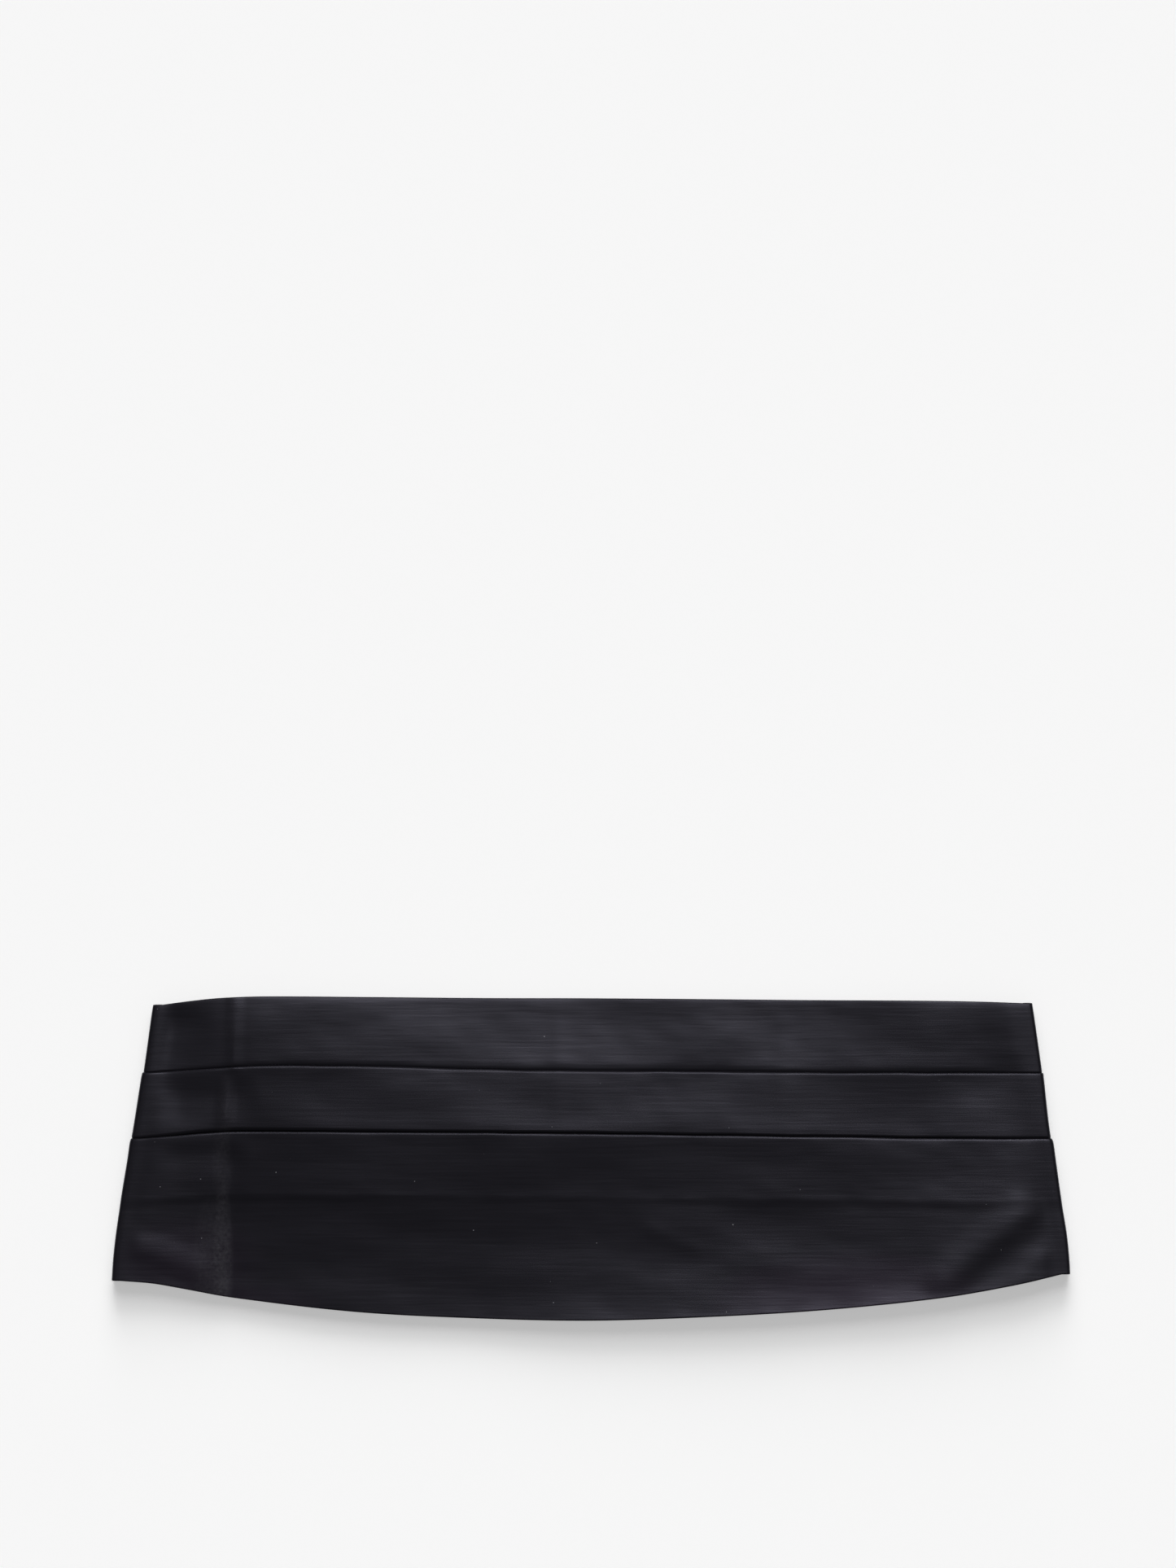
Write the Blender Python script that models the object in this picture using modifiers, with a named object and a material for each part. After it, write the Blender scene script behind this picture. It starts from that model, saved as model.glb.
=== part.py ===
# Pleated satin cummerbund, fastened into a loop and laid flat with its front up.
# X runs along the front, Y towards its top edge and Z out of its face. The origin lies on the surface
# that the loop rests on, under the middle of its outline. Sizes are in millimetres.
import math
from collections import namedtuple

import bmesh
import bpy
from mathutils import Vector

MM = 0.001

# Cloth
WALL = 1.0  # satin with its backing
GAP = 0.3  # air between two layers that lie on each other
LAYER = WALL + GAP
STACK = 3 * WALL + 2 * GAP  # a pleat: face, return and underlay
TURN = LAYER / 2  # middle radius of a turned fold
TIP = TURN + WALL / 2  # its outer radius
FACE_DROP = 2 * LAYER  # how far a pleat's face stands over the layer it covers

# Pleats
UNDERLAY_SHORT = 2.4  # how far the first underlay ends above the second fold
LAP = 0.6  # a face starts and ends its fall this far past the folds
FALL = UNDERLAY_SHORT + 2 * LAP
UNDERLAY_DEPTH = 25.0  # second underlay, from fold to turn
SOFT_FALL = 7.0  # the lower panel comes down over its edge

# Side folds, where the front turns behind
SIDE_GAP = GAP / 2  # radius of the empty core
SIDE_RADIUS = SIDE_GAP + STACK
LEAN = 0.15  # the side folds lean in by this much for each unit of height
SPREAD = 0.2  # share of the half width over which the single layers rise to the side fold
TOP_SET_BACK = 0.5  # the top strip turns this much inside the pleats

# Wings, behind
WING_END = 60.0  # distance of each wing's end from the middle
WING_MIDDLE = 14.0  # height of the wing's end over the middle of the outline
WING_HEIGHT = 50.0
WING_TOP_FALL = 32.0  # first slope of the wing's top edge, over its length
WING_HEM_FALL = 7.0

# Straps and clasp
STRAP_WIDTH = 30.0
STRAP_TURN = 14.0  # turned end behind each clasp bar
CLASP_BAR = 2.5
CLASP_HEIGHT = 36.0
CLASP_CORNER = 2.0
HOOK_BAR = -10.4  # left side of the hook's strap bar
RING_BAR = 2.4  # left side of the bar that the hook catches
RING_LENGTH = 10.0
TONGUE_WIDTH = 12.0

# Heights of the front's lines above the middle of the outline, at shares of its half width
Lines = namedtuple("Lines", "share top fold_1 fold_2 hem")
FRONT = [
    Lines(-1.00, 60.3, 33.9, 7.6, -47.6),
    Lines(-0.93, 62.0, 34.7, 8.6, -48.9),
    Lines(-0.86, 63.3, 35.6, 9.7, -50.9),
    Lines(-0.76, 64.1, 36.6, 10.4, -54.4),
    Lines(-0.50, 63.9, 36.4, 10.2, -60.3),
    Lines(-0.25, 63.5, 35.2, 9.9, -62.9),
    Lines(0.00, 63.5, 34.5, 9.5, -64.1),
    Lines(0.25, 63.2, 34.4, 9.1, -62.6),
    Lines(0.50, 62.6, 34.0, 8.6, -59.5),
    Lines(0.75, 62.4, 33.8, 8.0, -54.8),
    Lines(0.90, 61.9, 33.8, 7.8, -49.7),
    Lines(1.00, 61.0, 33.7, 7.6, -44.8),
]

# Half widths of the outline at heights above its middle
Sides = namedtuple("Sides", "height left right")
OUTLINE = [
    Sides(-48.0, 189.8, 189.4),
    Sides(-36.0, 189.4, 189.7),
    Sides(-16.0, 186.4, 186.5),
    Sides(8.0, 182.2, 182.9),
    Sides(34.0, 177.8, 179.1),
    Sides(61.0, 173.7, 175.2),
]

# Soft folds in the front: a ridge along a line, falling away on both sides
Ridge = namedtuple("Ridge", "x_1 y_1 x_2 y_2 height width")
RIDGES = [
    Ridge(-139.0, 66.0, -141.0, 12.0, 1.0, 7.0),
    Ridge(-141.0, 12.0, -144.0, -56.0, 0.9, 7.0),
    Ridge(128.0, -36.0, 166.0, -19.0, 1.0, 9.0),
    Ridge(152.0, -46.0, 176.0, -38.0, 0.8, 8.0),
    Ridge(-176.0, -37.0, -160.0, -30.0, 0.7, 6.0),
    Ridge(24.0, -30.0, 46.0, -42.0, 0.5, 8.0),
    Ridge(-20.0, -58.0, 110.0, -53.0, 0.7, 6.0),
]
EDGE_EASE = 0.08  # share of the half width over which the soft folds die out at the sides

# Rows of the mesh along the front
Band = namedtuple("Band", "start end steps")
BANDS = [
    Band(-1.00, -0.88, 3),
    Band(-0.88, -0.66, 6),
    Band(-0.66, 0.60, 10),
    Band(0.60, 0.90, 5),
    Band(0.90, 1.00, 2),
]
SIDE_STEPS = 6
WING_STEPS = 5
PLEAT_POINTS = 2  # along each layer of a pleat, between its turns


def read_table(table, column, at):
    """Cubic through one column of a table, at a value of the table's first column."""
    keys = [row[0] for row in table]
    values = [getattr(row, column) for row in table]
    slopes = []
    for i in range(len(keys)):
        a, b = max(i - 1, 0), min(i + 1, len(keys) - 1)
        slopes.append((values[b] - values[a]) / (keys[b] - keys[a]))
    i = 0
    while i < len(keys) - 2 and at > keys[i + 1]:
        i += 1
    span = keys[i + 1] - keys[i]
    t = min(max((at - keys[i]) / span, 0.0), 1.0)
    return hermite(values[i], values[i + 1], slopes[i] * span, slopes[i + 1] * span, t)


def hermite(start, end, slope_start, slope_end, t):
    """Cubic from start to end, with the slopes given over the whole run."""
    return (
        start * (2 * t**3 - 3 * t**2 + 1)
        + slope_start * (t**3 - 2 * t**2 + t)
        + end * (3 * t**2 - 2 * t**3)
        + slope_end * (t**3 - t**2)
    )


def smooth(t):
    """0 to 1 with level ends."""
    t = min(max(t, 0.0), 1.0)
    return t * t * (3 - 2 * t)


def between(start, end, level, count):
    """Points on a level run, strictly between its ends."""
    return [(start + (end - start) * k / (count + 1), level) for k in range(1, count + 1)]


def fall(start, end, level, next_level, steps):
    """A wave-shaped change of level."""
    points = []
    for k in range(steps + 1):
        t = k / steps
        eased = (1 - math.cos(math.pi * t)) / 2
        points.append((start + (end - start) * t, level + (next_level - level) * eased))
    return points


def turn(centre, level, way, steps=4):
    """Half circle from one level to the next; way is 1 where it bulges towards the hem."""
    points = []
    for k in range(steps + 1):
        angle = math.pi * k / steps
        points.append((centre + way * TURN * math.sin(angle), level + TURN * (1 - math.cos(angle))))
    return points


def pleat(start, end, level):
    """Down the underlay, up the return and down the face, with points over each other in all three."""
    points = between(start, end, level, PLEAT_POINTS)
    points += turn(end, level, 1)
    points += between(end, start, level + LAYER, PLEAT_POINTS)
    points += turn(start, level + LAYER, -1)
    return points + between(start, end, level + FACE_DROP, PLEAT_POINTS)


def pleat_section(length, fold_1, fold_2, depth_2, top_rise, panel_rise):
    """The cloth's middle line from top edge to hem, as distances below the top edge and levels over the
    inner face. The rises lift the top strip and the lower panel off the innermost layer."""
    low = WALL / 2
    high = low + FACE_DROP
    turn_1 = fold_2 - UNDERLAY_SHORT
    turn_2 = fold_2 + depth_2
    first_fall = fold_1 + LAP - FALL
    last_fall = turn_2 - LAP
    points = [(0, low + top_rise)] + between(0, first_fall, low + top_rise, 2)
    points += fall(first_fall, fold_1 + LAP, low + top_rise, low, 4)
    points += pleat(fold_1 + TIP, turn_1 - TIP, low)
    points += fall(turn_1 - LAP, fold_2 + LAP, high, low, 4)
    points += pleat(fold_2 + TIP, turn_2 - TIP, low)
    points += fall(last_fall, last_fall + SOFT_FALL, high, low + panel_rise, 3)
    points += between(last_fall + SOFT_FALL, length, low + panel_rise, 5)
    return points + [(length, low + panel_rise)]


def half_width(height, side):
    """Distance from the middle to the line where the side fold starts to turn."""
    column = "right" if side > 0 else "left"
    return read_table(OUTLINE, column, height) - SIDE_RADIUS


def relief(x, y, share):
    """How far the soft folds lift the front."""
    lift = 0.0
    for ridge in RIDGES:
        start = Vector((ridge.x_1, ridge.y_1))
        along = Vector((ridge.x_2, ridge.y_2)) - start
        t = (Vector((x, y)) - start).dot(along) / along.length_squared
        near = start + along * min(max(t, 0.0), 1.0)
        away = (Vector((x, y)) - near).length / ridge.width
        lift = max(lift, ridge.height * math.exp(-away * away))
    return lift * smooth((1 - abs(share)) / EDGE_EASE)


def front_section(share):
    """Points of the front at a share of its half width, from -1 to 1."""
    side = 1 if share >= 0 else -1
    top = read_table(FRONT, "top", share)
    near_side = smooth((abs(share) - 1 + SPREAD) / SPREAD)
    section = pleat_section(
        top - read_table(FRONT, "hem", share),
        top - read_table(FRONT, "fold_1", share),
        top - read_table(FRONT, "fold_2", share),
        UNDERLAY_DEPTH,
        near_side * (FACE_DROP - TOP_SET_BACK),
        near_side * FACE_DROP,
    )
    points = []
    for below, level in section:
        y = top - below
        x = share * half_width(y, side)
        z = SIDE_RADIUS + SIDE_GAP + level + relief(x, y, share)
        points.append(Vector((x, y, z)))
    return points


def side_section(side, angle):
    """Points of a side fold at an angle past the front."""
    share = float(side)
    top = read_table(FRONT, "top", share)
    section = pleat_section(
        top - read_table(FRONT, "hem", share),
        top - read_table(FRONT, "fold_1", share),
        top - read_table(FRONT, "fold_2", share),
        UNDERLAY_DEPTH,
        FACE_DROP - TOP_SET_BACK * (1 + math.cos(angle)) / 2,
        FACE_DROP,
    )
    out = Vector((side, LEAN, 0)).normalized()
    points = []
    for below, level in section:
        radius = SIDE_GAP + level
        y = top - below
        foot = Vector((side * half_width(y, side), y, SIDE_RADIUS))
        points.append(foot + out * radius * math.sin(angle) + Vector((0, 0, radius * math.cos(angle))))
    return points


def wing_section(side, part):
    """Points of a wing, from its side fold at part 0 to its end at part 1."""
    share = float(side)
    top_0 = read_table(FRONT, "top", share)
    hem_0 = read_table(FRONT, "hem", share)
    top = hermite(top_0, WING_MIDDLE + WING_HEIGHT / 2, -WING_TOP_FALL, 0, part)
    hem = hermite(hem_0, WING_MIDDLE - WING_HEIGHT / 2, -WING_HEM_FALL, 0, part)
    scale = (top - hem) / (top_0 - hem_0)
    section = pleat_section(
        top - hem,
        (top_0 - read_table(FRONT, "fold_1", share)) * scale,
        (top_0 - read_table(FRONT, "fold_2", share)) * scale,
        UNDERLAY_DEPTH * scale,
        FACE_DROP,
        FACE_DROP,
    )
    points = []
    for below, level in section:
        start = half_width(top_0 - below / scale, side)
        x = side * (start + (WING_END - start) * part)
        points.append(Vector((x, top - below, SIDE_RADIUS - SIDE_GAP - level)))
    return points


def add_object(name, mesh, material):
    obj = bpy.data.objects.new(name, mesh)
    mesh.materials.append(material)
    parts.objects.link(obj)
    return obj


def sheet(name, sections, thickness, material):
    """An open sheet through sections of equal length, thickened evenly to both sides."""
    bm = bmesh.new()
    rows = [[bm.verts.new(point * MM) for point in section] for section in sections]
    for row, next_row in zip(rows, rows[1:]):
        for k in range(len(row) - 1):
            bm.faces.new((row[k], row[k + 1], next_row[k + 1], next_row[k]))
    mesh = bpy.data.meshes.new(name)
    bm.to_mesh(mesh)
    bm.free()
    mesh.shade_smooth()
    obj = add_object(name, mesh, material)
    shell = obj.modifiers.new("thickness", "SOLIDIFY")
    shell.thickness = thickness * MM
    shell.offset = 0
    shell.use_even_offset = True
    return obj


def plate(name, outlines, level, material):
    """A flat plate from closed outlines, the inner ones as holes, as thick as a wall."""
    curve = bpy.data.curves.new(name, "CURVE")
    curve.dimensions = "2D"
    curve.fill_mode = "BOTH"
    curve.extrude = WALL / 2 * MM
    for outline in outlines:
        spline = curve.splines.new("POLY")
        spline.points.add(len(outline) - 1)
        for point, (x, y) in zip(spline.points, outline):
            point.co = (x * MM, y * MM, 0, 1)
        spline.use_cyclic_u = True
    drawn = bpy.data.objects.new(name + "_outline", curve)
    drawn.location.z = level * MM
    parts.objects.link(drawn)
    bpy.context.view_layer.update()
    graph = bpy.context.evaluated_depsgraph_get()
    mesh = bpy.data.meshes.new_from_object(drawn.evaluated_get(graph))
    mesh.name = name
    bm = bmesh.new()
    bm.from_mesh(mesh)
    bmesh.ops.remove_doubles(bm, verts=bm.verts, dist=0.01 * MM)
    bm.to_mesh(mesh)
    bm.free()
    mesh.materials.clear()
    obj = add_object(name, mesh, material)
    obj.matrix_world = drawn.matrix_world
    bpy.data.objects.remove(drawn)
    return obj


def rectangle(left, right, bottom, top, corner=0.0):
    """Outline with round corners, three points to each."""
    if not corner:
        return [(left, bottom), (right, bottom), (right, top), (left, top)]
    points = []
    centres = [
        (right - corner, top - corner),
        (left + corner, top - corner),
        (left + corner, bottom + corner),
        (right - corner, bottom + corner),
    ]
    for quarter, (x, y) in enumerate(centres):
        for k in range(3):
            angle = math.pi / 2 * (quarter + k / 2)
            points.append((x + corner * math.cos(angle), y + corner * math.sin(angle)))
    return points


def strap_path(start, bar_side, side):
    """Middle line of a strap from the wing's end, round a clasp bar and back, as x and z."""
    radius = LAYER
    centre = bar_side + side * (radius - WALL / 2 - GAP)
    path = [(start, WALL / 2)]
    for k in range(7):
        angle = math.pi * k / 6
        path.append((centre - side * radius * math.sin(angle), WALL / 2 + radius * (1 - math.cos(angle))))
    path.append((centre + side * STRAP_TURN, WALL / 2 + 2 * radius))
    return path


def strip(name, path, width, material):
    """A sheet that runs along a path in x and z, level across the strap."""
    low = WING_MIDDLE - width / 2
    high = WING_MIDDLE + width / 2
    sections = [[Vector((x, low, z)), Vector((x, high, z))] for x, z in path]
    return sheet(name, sections, WALL, material)


def finish(name, colour, roughness, metallic):
    material = bpy.data.materials.new(name)
    material.use_nodes = True
    shader = material.node_tree.nodes["Principled BSDF"]
    shader.inputs["Base Color"].default_value = (*colour, 1)
    shader.inputs["Roughness"].default_value = roughness
    shader.inputs["Metallic"].default_value = metallic
    return material


for old in list(bpy.data.objects):
    bpy.data.objects.remove(old)

parts = bpy.data.collections.new("cummerbund")
cutters = bpy.data.collections.new("cutters")
bpy.context.scene.collection.children.link(parts)
bpy.context.scene.collection.children.link(cutters)

satin = finish("black satin", (0.016, 0.015, 0.02), 0.38, 0.0)
webbing = finish("black elastic", (0.012, 0.012, 0.013), 0.85, 0.0)
metal = finish("black clasp metal", (0.03, 0.03, 0.032), 0.35, 1.0)

# Pleated front with its wings
sections = [wing_section(-1, 1 - k / WING_STEPS) for k in range(WING_STEPS)]
sections += [side_section(-1, math.pi * (1 - k / SIDE_STEPS)) for k in range(SIDE_STEPS)]
for band in BANDS:
    for k in range(band.steps):
        sections.append(front_section(band.start + (band.end - band.start) * k / band.steps))
sections += [side_section(1, math.pi * k / SIDE_STEPS) for k in range(SIDE_STEPS)]
sections += [wing_section(1, k / WING_STEPS) for k in range(WING_STEPS + 1)]
sheet("pleated_front", sections, WALL, satin)

# Straps
hook_bar_end = HOOK_BAR + CLASP_BAR
ring_far_bar = RING_BAR + RING_LENGTH - CLASP_BAR
strip("strap_left", strap_path(-WING_END + GAP, hook_bar_end, -1), STRAP_WIDTH, webbing)
strip("strap_right", strap_path(WING_END - GAP, ring_far_bar, 1), STRAP_WIDTH, webbing)

# Clasp
low = WING_MIDDLE - CLASP_HEIGHT / 2
high = WING_MIDDLE + CLASP_HEIGHT / 2
clasp_level = WALL / 2 + LAYER
slot = WALL + 2 * GAP
hook_length = 2 * CLASP_BAR + slot
hook = plate(
    "hook",
    [
        rectangle(HOOK_BAR, HOOK_BAR + hook_length, low, high, CLASP_CORNER),
        rectangle(hook_bar_end, hook_bar_end + slot, low + CLASP_BAR, high - CLASP_BAR),
    ],
    clasp_level,
    metal,
)
hook_front = HOOK_BAR + hook_length
tongue_end = RING_BAR + CLASP_BAR + GAP + WALL / 2
tongue_path = [
    (hook_front - 1.0, clasp_level),
    (hook_front + 1.5, clasp_level),
    (RING_BAR - 1.6, clasp_level + LAYER),
    (tongue_end - 0.6, clasp_level + LAYER),
    (tongue_end, clasp_level + LAYER - 0.6),
    (tongue_end, WALL),
]
tongue = strip("tongue", tongue_path, TONGUE_WIDTH, metal)
parts.objects.unlink(tongue)
cutters.objects.link(tongue)
tongue.hide_render = True
tongue.display_type = "WIRE"
weld = hook.modifiers.new("tongue", "BOOLEAN")
weld.operation = "UNION"
weld.object = tongue
plate(
    "ring",
    [
        rectangle(RING_BAR, RING_BAR + RING_LENGTH, low, high, CLASP_CORNER),
        rectangle(RING_BAR + CLASP_BAR, ring_far_bar, low + CLASP_BAR, high - CLASP_BAR),
    ],
    clasp_level,
    metal,
)
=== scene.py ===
# Black satin cummerbund, fastened into a loop and laid flat, seen from straight above.
# Sizes in the dictionaries are in millimetres and angles in degrees, unless a note says otherwise.
import math

import bmesh
import bpy
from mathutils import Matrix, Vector, noise


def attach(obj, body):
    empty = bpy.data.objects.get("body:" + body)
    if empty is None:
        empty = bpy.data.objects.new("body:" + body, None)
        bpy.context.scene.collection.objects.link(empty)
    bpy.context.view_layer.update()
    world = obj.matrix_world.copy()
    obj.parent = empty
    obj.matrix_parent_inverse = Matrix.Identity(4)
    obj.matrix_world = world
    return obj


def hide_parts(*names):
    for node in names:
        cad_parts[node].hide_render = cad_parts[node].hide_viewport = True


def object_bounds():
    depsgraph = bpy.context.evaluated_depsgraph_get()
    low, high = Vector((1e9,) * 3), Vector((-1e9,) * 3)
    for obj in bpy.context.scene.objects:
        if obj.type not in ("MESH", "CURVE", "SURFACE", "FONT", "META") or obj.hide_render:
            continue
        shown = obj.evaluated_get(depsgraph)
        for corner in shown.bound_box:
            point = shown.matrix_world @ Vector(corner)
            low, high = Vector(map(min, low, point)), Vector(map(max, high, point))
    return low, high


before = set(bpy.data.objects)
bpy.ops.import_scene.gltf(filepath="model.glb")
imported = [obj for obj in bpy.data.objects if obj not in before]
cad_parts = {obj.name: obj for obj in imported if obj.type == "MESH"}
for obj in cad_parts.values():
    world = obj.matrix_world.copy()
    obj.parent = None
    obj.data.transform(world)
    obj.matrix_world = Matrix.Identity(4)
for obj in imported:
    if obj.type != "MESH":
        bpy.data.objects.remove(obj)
cadLow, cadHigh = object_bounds()
scene = bpy.context.scene
mm = 0.001
print("frame loaded:", ", ".join(sorted(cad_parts)))


# small helpers

def smooth(t):
    t = min(max(t, 0.0), 1.0)
    return t * t * (3 - 2 * t)


def mix(a, b, t):
    return a + (b - a) * t


def spread(start, end, count):
    # values from start up to, and without, end
    return [mix(start, end, k / count) for k in range(count)]


def hermite(start, end, slopeStart, slopeEnd, t):
    return (
        start * (2 * t**3 - 3 * t**2 + 1)
        + slopeStart * (t**3 - 2 * t**2 + t)
        + end * (3 * t**2 - 2 * t**3)
        + slopeEnd * (t**3 - t**2)
    )


def readTable(table, key, column, at):
    # cubic through one column, at a value of the key column
    i = 0
    while i < len(table) - 2 and at > table[i + 1][key]:
        i += 1
    slopes = []
    for j in (i, i + 1):
        a, b = table[max(j - 1, 0)], table[min(j + 1, len(table) - 1)]
        slopes.append((b[column] - a[column]) / (b[key] - a[key]))
    span = table[i + 1][key] - table[i][key]
    t = min(max((at - table[i][key]) / span, 0.0), 1.0)
    return hermite(table[i][column], table[i + 1][column], slopes[0] * span, slopes[1] * span, t)


# camera: straight above the middle of the picture, with a long lens

photo = {
    "width": 1445,  # pixels
    "height": 1926,
    "middleX": 725.5,  # where the outline's middle lies in the picture
    "middleY": 1423.5,
    "mmPerPixel": 0.3231,
    "cameraHeight": 3200.0,
    "sensor": 36.0,
}


def makeCamera():
    data = bpy.data.cameras.new("camera")
    data.sensor_width = photo["sensor"]
    longSide = photo["height"] * photo["mmPerPixel"]
    data.lens = photo["sensor"] * photo["cameraHeight"] / longSide
    camera = bpy.data.objects.new("camera", data)
    x = (photo["width"] / 2 - photo["middleX"]) * photo["mmPerPixel"]
    y = (photo["middleY"] - photo["height"] / 2) * photo["mmPerPixel"]
    z = photo["cameraHeight"] + cadHigh.z / mm
    camera.location = (x * mm, y * mm, z * mm)
    scene.collection.objects.link(camera)
    scene.camera = camera


makeCamera()


# light and floor

studio = {
    "floorSize": 14.0,  # metres
    "floorColour": 0.9,
    "floorRoughness": 0.9,
    "floorGlow": 0.412,  # light table under the cloth
    "world": 0.1,
    "softLight": 1.68,  # lights the floor and casts the soft shadow under the hem
    "softTilt": 58.0,  # from straight above, towards the top edge
    "softSize": 52.0,
    "lowLight": 1.92,  # lower, for the shadow's long fade
    "lowTilt": 72.0,
    "lowSize": 28.0,
    "sheenLight": 0.5,  # card that the satin reflects
    "sheenTilt": 13.0,
    "sheenTurn": -22.0,  # towards the right
    "sheenSize": 10.0,
    "sideLight": 0.13,  # cards on two sides, which show in the satin from low down
    "sideTilt": 66.0,
    "sideTurns": (-135.0, 45.0),
    "sideSize": 22.0,
}


def addSun(name, strength, tilt, turn, size):
    data = bpy.data.lights.new(name, "SUN")
    data.energy = strength
    data.angle = math.radians(size)
    light = bpy.data.objects.new(name, data)
    light.rotation_euler = (math.radians(-tilt), 0, math.radians(turn))
    scene.collection.objects.link(light)
    return light


def makeStudio():
    scene.view_settings.view_transform = "Standard"
    scene.view_settings.look = "None"
    world = bpy.data.worlds.new("studio")
    scene.world = world
    world.use_nodes = True
    sky = world.node_tree.nodes["Background"]
    sky.inputs["Color"].default_value = (1, 1, 1, 1)
    sky.inputs["Strength"].default_value = studio["world"]

    soft = addSun("softBox", studio["softLight"], studio["softTilt"], 0, studio["softSize"])
    soft.visible_glossy = False
    lowSoft = addSun("lowBox", studio["lowLight"], studio["lowTilt"], 0, studio["lowSize"])
    lowSoft.visible_glossy = False
    card = addSun(
        "sheenCard", studio["sheenLight"], studio["sheenTilt"], studio["sheenTurn"], studio["sheenSize"]
    )
    card.visible_diffuse = False
    for turn in studio["sideTurns"]:
        sideCard = addSun("sideCard", studio["sideLight"], studio["sideTilt"], turn, studio["sideSize"])
        sideCard.visible_diffuse = False

    half = studio["floorSize"] / 2
    corners = [(-half, -half, 0), (half, -half, 0), (half, half, 0), (-half, half, 0)]
    mesh = bpy.data.meshes.new("floor")
    mesh.from_pydata(corners, [], [(0, 1, 2, 3)])
    floor = bpy.data.objects.new("floor", mesh)
    scene.collection.objects.link(floor)
    material = bpy.data.materials.new("paleFloor")
    material.use_nodes = True
    shader = material.node_tree.nodes["Principled BSDF"]
    grey = studio["floorColour"]
    shader.inputs["Base Color"].default_value = (grey, grey, grey, 1)
    shader.inputs["Roughness"].default_value = studio["floorRoughness"]
    shader.inputs["Specular IOR Level"].default_value = 0.0
    shader.inputs["Emission Color"].default_value = (1, 1, 1, 1)
    shader.inputs["Emission Strength"].default_value = studio["floorGlow"]
    mesh.materials.append(material)


makeStudio()
print("camera, light and floor made")


# shader node groups

def newGroup(name, inputs, output):
    group = bpy.data.node_groups.new(name, "ShaderNodeTree")
    for label, value in inputs.items():
        socket = group.interface.new_socket(name=label, in_out="INPUT", socket_type="NodeSocketFloat")
        socket.default_value = value
    group.interface.new_socket(name=output, in_out="OUTPUT", socket_type="NodeSocketFloat")
    return group, group.nodes.new("NodeGroupInput"), group.nodes.new("NodeGroupOutput")


def addMath(tree, operation, *values):
    node = tree.nodes.new("ShaderNodeMath")
    node.operation = operation
    for socket, value in zip(node.inputs, values):
        if isinstance(value, (int, float)):
            socket.default_value = value
        else:
            tree.links.new(value, socket)
    return node.outputs[0]


def splitPlace(tree):
    # the piece's own coordinates, in metres
    place = tree.nodes.new("ShaderNodeTexCoord")
    split = tree.nodes.new("ShaderNodeSeparateXYZ")
    tree.links.new(place.outputs["Object"], split.inputs[0])
    return split.outputs


def joinPlace(tree, x, y, z):
    join = tree.nodes.new("ShaderNodeCombineXYZ")
    for value, socket in zip((x, y, z), join.inputs):
        if isinstance(value, (int, float)):
            socket.default_value = value
        else:
            tree.links.new(value, socket)
    return join.outputs[0]


def addNoise(tree, place, detail, roughness):
    node = tree.nodes.new("ShaderNodeTexNoise")
    node.inputs["Scale"].default_value = 1.0
    node.inputs["Detail"].default_value = detail
    node.inputs["Roughness"].default_value = roughness
    tree.links.new(place, node.inputs["Vector"])
    return node.outputs["Fac"]


def makeStreakGroup():
    # long fine streaks along X, as the floats and slubs of a satin make
    group, entry, leave = newGroup("satinStreaks", {"Length": 0.012, "Height": 0.0005}, "Streaks")
    x, y, z = splitPlace(group)
    place = joinPlace(
        group,
        addMath(group, "DIVIDE", x, entry.outputs["Length"]),
        addMath(group, "DIVIDE", y, entry.outputs["Height"]),
        addMath(group, "DIVIDE", z, entry.outputs["Height"]),
    )
    streaks = addNoise(group, place, detail=3.0, roughness=0.6)
    group.links.new(streaks, leave.inputs["Streaks"])
    return group


def makeCloudGroup():
    # uneven patches, as broad as their size says
    group, entry, leave = newGroup("softClouds", {"Size": 0.03}, "Clouds")
    parts = [addMath(group, "DIVIDE", part, entry.outputs["Size"]) for part in splitPlace(group)]
    clouds = addNoise(group, joinPlace(group, *parts), detail=3.0, roughness=0.55)
    group.links.new(clouds, leave.inputs["Clouds"])
    return group


def makeLintGroup():
    # a few tiny specks of lint: 1 on a speck and 0 beside it
    inputs = {"Spacing": 0.03, "Size": 0.0003, "Share": 0.4, "LeastSize": 0.3}
    group, entry, leave = newGroup("lintSpecks", inputs, "Specks")
    x, y = splitPlace(group)[:2]
    place = joinPlace(
        group,
        addMath(group, "DIVIDE", x, entry.outputs["Spacing"]),
        addMath(group, "DIVIDE", y, entry.outputs["Spacing"]),
        0.0,
    )
    cells = group.nodes.new("ShaderNodeTexVoronoi")
    cells.voronoi_dimensions = "2D"
    cells.inputs["Scale"].default_value = 1.0
    group.links.new(place, cells.inputs["Vector"])
    pick = group.nodes.new("ShaderNodeSeparateColor")
    group.links.new(cells.outputs["Color"], pick.inputs[0])
    chosen = addMath(group, "LESS_THAN", pick.outputs[0], entry.outputs["Share"])
    reach = addMath(group, "DIVIDE", entry.outputs["Size"], entry.outputs["Spacing"])
    unlike = addMath(group, "ADD", pick.outputs[1], entry.outputs["LeastSize"])
    reach = addMath(group, "MULTIPLY", reach, unlike)
    near = addMath(group, "LESS_THAN", cells.outputs["Distance"], reach)
    group.links.new(addMath(group, "MULTIPLY", near, chosen), leave.inputs["Specks"])
    return group


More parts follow.
